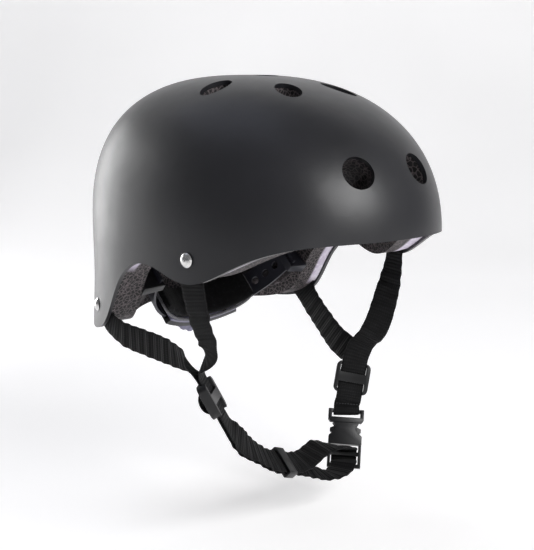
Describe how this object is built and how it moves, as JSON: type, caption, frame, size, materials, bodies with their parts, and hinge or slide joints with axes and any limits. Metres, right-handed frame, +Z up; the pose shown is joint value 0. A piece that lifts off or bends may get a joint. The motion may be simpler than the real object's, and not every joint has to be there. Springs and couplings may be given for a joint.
{
  "type": "helmet",
  "caption": "Round hard-shell water and skate helmet with foam liner, comfort pads, rear dial-fit cradle, webbing harness, tri-glides and side-release chin buckle.",
  "frame": {"origin": "inside the head cavity, level with the top of the straight side walls, on the mid plane: where the head carries the helmet", "axes": "+Z up through the crown, -Y the way the wearer faces, +X towards the wearer's left"},
  "size_m": [0.216, 0.2755, 0.3039],
  "materials": {
    "shell_plastic": "satin charcoal moulded plastic",
    "liner_foam": "moulded bead foam with a pale skin along the brim",
    "rivet_steel": "bright domed",
    "hook_fabric": "hook tape",
    "pad_fabric": "mottled knit over foam",
    "cradle_fabric": "brushed knit over foam",
    "dial_plastic": "satin",
    "band_plastic": "satin",
    "webbing": "ribbed woven",
    "buckle_plastic": "satin moulded"
  },
  "bodies": {
    "helmet": {"outer_shell": "shell_plastic", "foam_liner": "liner_foam", "strap_rivets": "rivet_steel", "rivet_washers": "rivet_steel", "front_pad": "pad_fabric", "crown_pad": "pad_fabric", "right_side_pad": "pad_fabric", "left_side_pad": "pad_fabric", "right_nape_pad": "pad_fabric", "left_nape_pad": "pad_fabric", "hook_dots": "hook_fabric", "dial_housing": "dial_plastic", "dial_cover": "dial_plastic", "cover_screws": "rivet_steel", "right_band_guide": "band_plastic", "left_band_guide": "band_plastic", "cradle_pad": "cradle_fabric", "right_front_strap": "webbing", "right_rear_strap": "webbing", "left_front_strap": "webbing", "left_rear_strap": "webbing", "plug_strap": "webbing", "plug_strap_loop": "webbing", "buckle_plug": "buckle_plastic", "chin_strap_inner": "webbing", "chin_strap_outer": "webbing"},
    "dial": {"dial_knob": "dial_plastic", "dial_pinion": "dial_plastic", "dial_screw": "rivet_steel"},
    "right_fit_band": {"right_band": "band_plastic"},
    "left_fit_band": {"left_band": "band_plastic"},
    "socket": {"buckle_socket": "buckle_plastic"},
    "front_prong": {"front_prong": "buckle_plastic"},
    "back_prong": {"back_prong": "buckle_plastic"},
    "right_adjuster": {"right_triglide": "buckle_plastic"},
    "left_adjuster": {"left_triglide": "buckle_plastic"},
    "keeper": {"strap_keeper": "buckle_plastic"}
  },
  "joints": [
    {"name": "dial_turn", "type": "hinge", "parent": "helmet", "child": "dial", "pos_m": [0, 0.09, -0.075], "axis": [0, 0.7071, -0.7071], "range_deg": [-45, 80]},
    {"name": "right_band_draw", "type": "hinge", "parent": "helmet", "child": "right_fit_band", "pos_m": [0, 0.04333, -0.02833], "axis": [0, 0.7071, 0.7071], "range_deg": [-5.4, 3]},
    {"name": "left_band_draw", "type": "hinge", "parent": "helmet", "child": "left_fit_band", "pos_m": [0, 0.04333, -0.02833], "axis": [0, 0.7071, 0.7071], "range_deg": [-3, 5.4]},
    {"name": "buckle_release", "type": "slide", "parent": "helmet", "child": "socket", "axis": [-0.355, -0.289, -0.8891], "range_m": [0, 0.018], "deforming": ["chin_strap_inner", "chin_strap_outer"]},
    {"name": "front_prong_press", "type": "hinge", "parent": "helmet", "child": "front_prong", "pos_m": [0.07485, -0.02196, -0.16258], "axis": [0.5913, 0.6672, -0.453], "range_deg": [0, 7], "stiffness_Nm_per_rad": 0.05},
    {"name": "back_prong_press", "type": "hinge", "parent": "helmet", "child": "back_prong", "pos_m": [0.065, -0.01262, -0.16168], "axis": [-0.5913, -0.6672, 0.453], "range_deg": [0, 7], "stiffness_Nm_per_rad": 0.05},
    {"name": "right_adjuster_slide", "type": "slide", "parent": "helmet", "child": "right_adjuster", "axis": [0.3201, -0.3531, -0.8792], "range_m": [0, 0.005]},
    {"name": "left_adjuster_slide", "type": "slide", "parent": "helmet", "child": "left_adjuster", "axis": [-0.3039, -0.076, -0.9497], "range_m": [0, 0.003]},
    {"name": "keeper_slide", "type": "slide", "parent": "helmet", "child": "keeper", "axis": [0.9325, 0.1611, -0.3232], "range_m": [-0.003, 0.003]}
  ],
  "couplings": [
    {"joint": "dial_turn", "follows": "right_band_draw", "ratio": -14.667},
    {"joint": "left_band_draw", "follows": "right_band_draw", "ratio": -1}
  ]
}
